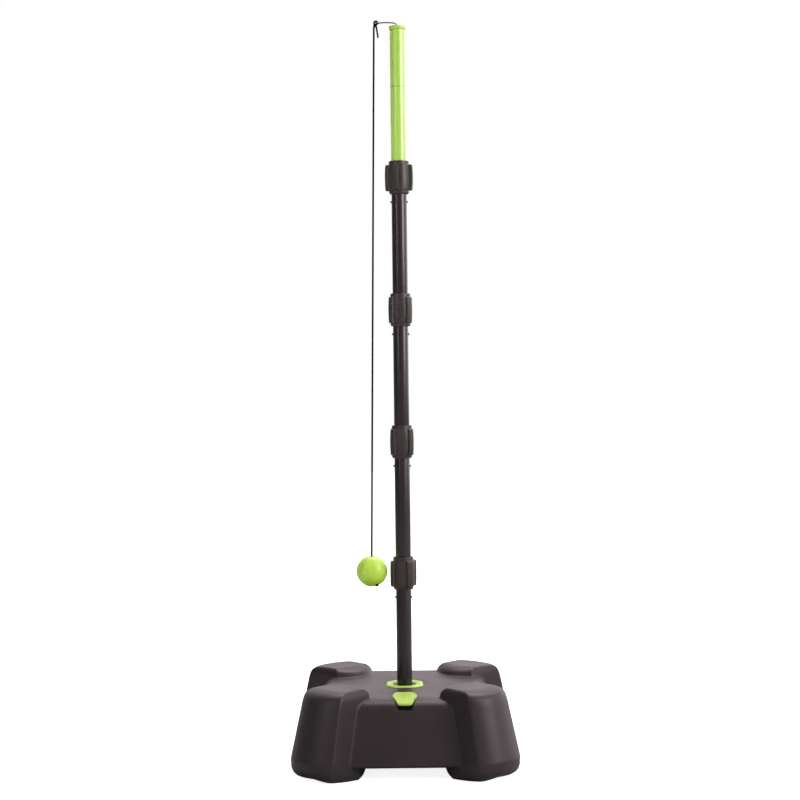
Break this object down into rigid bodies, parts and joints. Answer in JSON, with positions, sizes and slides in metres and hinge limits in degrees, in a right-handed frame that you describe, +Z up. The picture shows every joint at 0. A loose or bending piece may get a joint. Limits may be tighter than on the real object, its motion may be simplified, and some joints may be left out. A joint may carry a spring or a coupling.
{
  "type": "tether ball tennis trainer stand",
  "caption": "Free-standing tether-ball trainer: hollow fillable base, sectional mast with twist nuts, swivelling top arm, and a ball on a cord.",
  "frame": {"origin": "on the floor, at the middle of the base, under the mast axis", "axes": "+Z up along the mast, -Y towards the filler cap at the front of the base, -X towards the hanging ball"},
  "size_m": [0.4652, 0.4652, 1.546],
  "materials": {
    "base_plastic": "blow-moulded polyethylene, fine grain",
    "nut_plastic": "moulded nylon, satin",
    "black_plastic": "moulded plastic, satin",
    "lime_plastic": "moulded plastic, satin",
    "black_tube": "semi-gloss paint on steel tube",
    "lime_tube": "gloss paint on steel tube",
    "steel_pin": "plain steel",
    "arm_wire": "brown-grey drawn wire",
    "rubber": "matte",
    "cord": "braided cord",
    "foam": "matte foam rubber with a fine skin"
  },
  "bodies": {
    "base": {"base_tank": "base_plastic", "filler_seal": "rubber", "socket_bush": "black_plastic"},
    "filler_cap_body": {"filler_cap": "lime_plastic"},
    "lock_ring_body": {"lock_ring": "lime_plastic"},
    "mast_1": {"mast_tube_1": "black_tube", "spigot_1": "black_plastic", "cross_pin_1": "steel_pin"},
    "mast_2": {"mast_tube_2": "black_tube", "ferrule_1": "black_plastic", "spigot_2": "black_plastic", "cross_pin_2": "steel_pin"},
    "mast_3": {"mast_tube_3": "black_tube", "ferrule_2": "black_plastic", "spigot_3": "black_plastic", "cross_pin_3": "steel_pin"},
    "mast_4": {"mast_tube_4": "black_tube", "ferrule_3": "black_plastic", "spigot_4": "black_plastic", "cross_pin_4": "steel_pin"},
    "mast_top": {"top_tube": "lime_tube", "ferrule_4": "black_plastic", "top_bush": "lime_plastic"},
    "nut_1": {"twist_nut_1": "nut_plastic"},
    "nut_2": {"twist_nut_2": "nut_plastic"},
    "nut_3": {"twist_nut_3": "nut_plastic"},
    "nut_4": {"twist_nut_4": "nut_plastic"},
    "arm": {"swivel_arm": "arm_wire", "arm_clip": "steel_pin"},
    "knot": {"eye_knot": "cord"},
    "tether": {"tether_cord": "cord", "ball": "foam", "ball_knot": "cord"}
  },
  "joints": [
    {"name": "filler_cap_lift", "type": "slide", "parent": "base", "child": "filler_cap_body", "axis": [0, 0, 1], "range_m": [0, 0.035]},
    {"name": "lock_ring_turn", "type": "hinge", "parent": "base", "child": "lock_ring_body", "pos_m": [0, 0, 0.16], "axis": [0, 0, 1], "range_deg": [0, 60]},
    {"name": "mast_lift", "type": "slide", "parent": "base", "child": "mast_1", "axis": [0, 0, 1], "range_m": [0, 0.13]},
    {"name": "section_2_lift", "type": "slide", "parent": "mast_1", "child": "mast_2", "axis": [0, 0, 1], "range_m": [0, 0.045]},
    {"name": "section_3_lift", "type": "slide", "parent": "mast_2", "child": "mast_3", "axis": [0, 0, 1], "range_m": [0, 0.045]},
    {"name": "section_4_lift", "type": "slide", "parent": "mast_3", "child": "mast_4", "axis": [0, 0, 1], "range_m": [0, 0.045]},
    {"name": "top_lift", "type": "slide", "parent": "mast_4", "child": "mast_top", "axis": [0, 0, 1], "range_m": [0, 0.045]},
    {"name": "nut_1_turn", "type": "hinge", "parent": "mast_2", "child": "nut_1", "pos_m": [0, 0, 0.3915], "axis": [0, 0, 1], "continuous": true},
    {"name": "nut_2_turn", "type": "hinge", "parent": "mast_3", "child": "nut_2", "pos_m": [0, 0, 0.667], "axis": [0, 0, 1], "continuous": true},
    {"name": "nut_3_turn", "type": "hinge", "parent": "mast_4", "child": "nut_3", "pos_m": [0, 0, 0.9425], "axis": [0, 0, 1], "continuous": true},
    {"name": "nut_4_turn", "type": "hinge", "parent": "mast_top", "child": "nut_4", "pos_m": [0, 0, 1.218], "axis": [0, 0, 1], "continuous": true},
    {"name": "arm_swivel", "type": "hinge", "parent": "mast_top", "child": "arm", "pos_m": [0, 0, 1.52], "axis": [0, 0, 1], "continuous": true},
    {"name": "tether_swing", "type": "hinge", "parent": "arm", "child": "knot", "pos_m": [-0.0445, 0, 1.5406], "axis": [0, 1, 0], "range_deg": [0, 95]},
    {"name": "tether_sway", "type": "hinge", "parent": "knot", "child": "tether", "pos_m": [-0.0486, 0, 1.5326], "axis": [1, 0, 0], "range_deg": [-55, 55]}
  ]
}
